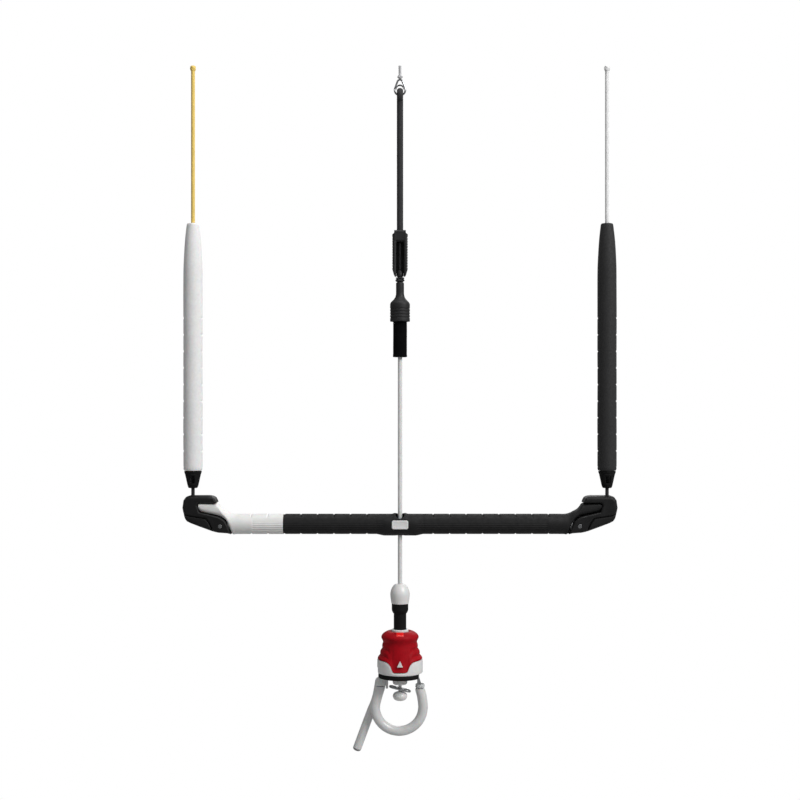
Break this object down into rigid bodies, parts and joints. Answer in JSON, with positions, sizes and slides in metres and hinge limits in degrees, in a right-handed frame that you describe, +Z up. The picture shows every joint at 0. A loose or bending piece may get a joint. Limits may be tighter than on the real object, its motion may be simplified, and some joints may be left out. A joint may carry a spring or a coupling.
{
  "type": "kite control bar",
  "caption": "Kite control bar with sliding hub, foam floats on its leader lines, trim adjuster above the bar, swivel, push-away release, chicken loop and locking finger",
  "frame": {"origin": "top end of the centre line, from which the whole part hangs", "axes": "+X along the bar to the rider's right, +Z up along the centre line towards the kite, -Y towards the rider"},
  "size_m": [0.52, 0.0551, 0.8256],
  "materials": {
    "black_plastic": "hard moulded plastic, fine satin texture",
    "black_rubber": "soft matte rubber",
    "black_foam": "closed-cell foam with a fine skin",
    "white_foam": "white closed-cell foam with a fine skin",
    "white_plastic": "white moulded plastic, soft gloss",
    "white_tube": "smooth extruded polyurethane tube",
    "clear_plastic": "clear-white moulded plastic",
    "red_plastic": "red soft-touch plastic",
    "steel": "polished stainless steel",
    "aluminium": "drawn tube, natural",
    "dark_rope": "tight dark braid",
    "grey_line": "grey braided line",
    "white_line": "white line, braided or smooth coated",
    "yellow_line": "yellow braided line"
  },
  "bodies": {
    "trim_top": {"front_line": "grey_line", "shackle_ring": "steel", "thimble": "steel", "trim_rope": "dark_rope", "trim_core": "dark_rope"},
    "depower": {"trim_cleat": "black_plastic", "neck_grommet": "dark_rope", "trim_boot": "black_rubber", "trim_sleeve": "black_rubber", "depower_line": "white_line", "swivel_dome": "white_plastic", "dome_cap": "steel"},
    "line_guide": {"line_guide_ring": "steel"},
    "bar": {"core_tube": "aluminium", "hub_body": "black_plastic", "hub_badge": "white_plastic", "hub_seat": "black_plastic", "left_grip_white": "white_foam", "left_grip_black": "black_foam", "right_grip_black": "black_foam", "left_end_frame": "black_plastic", "left_end_pod": "black_rubber", "left_tube_plug": "black_plastic", "left_end_screw": "steel", "left_end_nut": "steel", "right_end_frame": "black_plastic", "right_end_pod": "black_rubber", "right_tube_plug": "black_plastic", "right_end_screw": "steel", "right_end_nut": "steel"},
    "left_leader": {"left_preline": "dark_rope", "left_clip": "black_plastic", "left_float": "white_foam", "left_leader_line": "yellow_line"},
    "right_leader": {"right_preline": "dark_rope", "right_clip": "black_plastic", "right_float": "black_foam", "right_leader_line": "white_line"},
    "release": {"swivel_pin": "steel", "swivel_nut": "steel", "swivel_collar": "black_plastic", "release_tube": "black_plastic", "spring_retainer": "white_plastic", "release_spring": "steel", "release_base": "white_plastic", "base_ring": "black_plastic", "lower_boss": "white_plastic", "safety_line": "white_line", "stopper_ball": "white_plastic", "loop_hinge_pin": "steel"},
    "sleeve": {"release_sleeve": "red_plastic", "arrow_inlay": "white_plastic"},
    "loop": {"loop_block": "white_plastic", "chicken_loop": "white_tube", "loop_tongue": "steel", "loop_ferrule": "clear_plastic"},
    "finger": {"finger_tube": "white_tube", "finger_cap": "grey_line"},
    "leash": {"leash_plate": "steel"}
  },
  "joints": [
    {"name": "trim_slide", "type": "slide", "parent": "trim_top", "child": "depower", "axis": [0, 0, 1], "range_m": [0, 0.028]},
    {"name": "bar_sheeting", "type": "slide", "parent": "depower", "child": "line_guide", "axis": [0, 0, 1], "range_m": [-0.054, 0.18]},
    {"name": "bar_steering", "type": "hinge", "parent": "line_guide", "child": "bar", "pos_m": [0, 0, -0.55], "axis": [0, 1, 0], "range_deg": [-12, 12]},
    {"name": "left_leader_pivot", "type": "hinge", "parent": "bar", "child": "left_leader", "pos_m": [-0.2484, 0, -0.5235], "axis": [0, 1, 0], "range_deg": [-12.5, 12.5]},
    {"name": "right_leader_pivot", "type": "hinge", "parent": "bar", "child": "right_leader", "pos_m": [0.2484, 0, -0.5235], "axis": [0, 1, 0], "range_deg": [-12.5, 12.5]},
    {"name": "release_swivel", "type": "hinge", "parent": "depower", "child": "release", "pos_m": [0, 0, -0.65], "axis": [0, 0, 1], "continuous": true},
    {"name": "sleeve_push", "type": "slide", "parent": "release", "child": "sleeve", "axis": [0, 0, 1], "range_m": [0, 0.015], "stiffness_N_per_m": 400, "springref_m": -0.005, "deforming": ["release_spring"]},
    {"name": "loop_open", "type": "hinge", "parent": "release", "child": "loop", "pos_m": [-0.0205, 0, -0.73055], "axis": [0, 1, 0], "range_deg": [0, 90]},
    {"name": "finger_swing", "type": "hinge", "parent": "loop", "child": "finger", "pos_m": [-0.026, 0.0115, -0.741], "axis": [0, 1, 0], "range_deg": [-40, 10]},
    {"name": "leash_plate_spin", "type": "hinge", "parent": "release", "child": "leash", "pos_m": [0, 0, -0.7479], "axis": [0, 0, 1], "continuous": true}
  ],
  "couplings": [
    {"joint": "left_leader_pivot", "follows": "bar_steering", "ratio": -1},
    {"joint": "right_leader_pivot", "follows": "bar_steering", "ratio": -1}
  ]
}
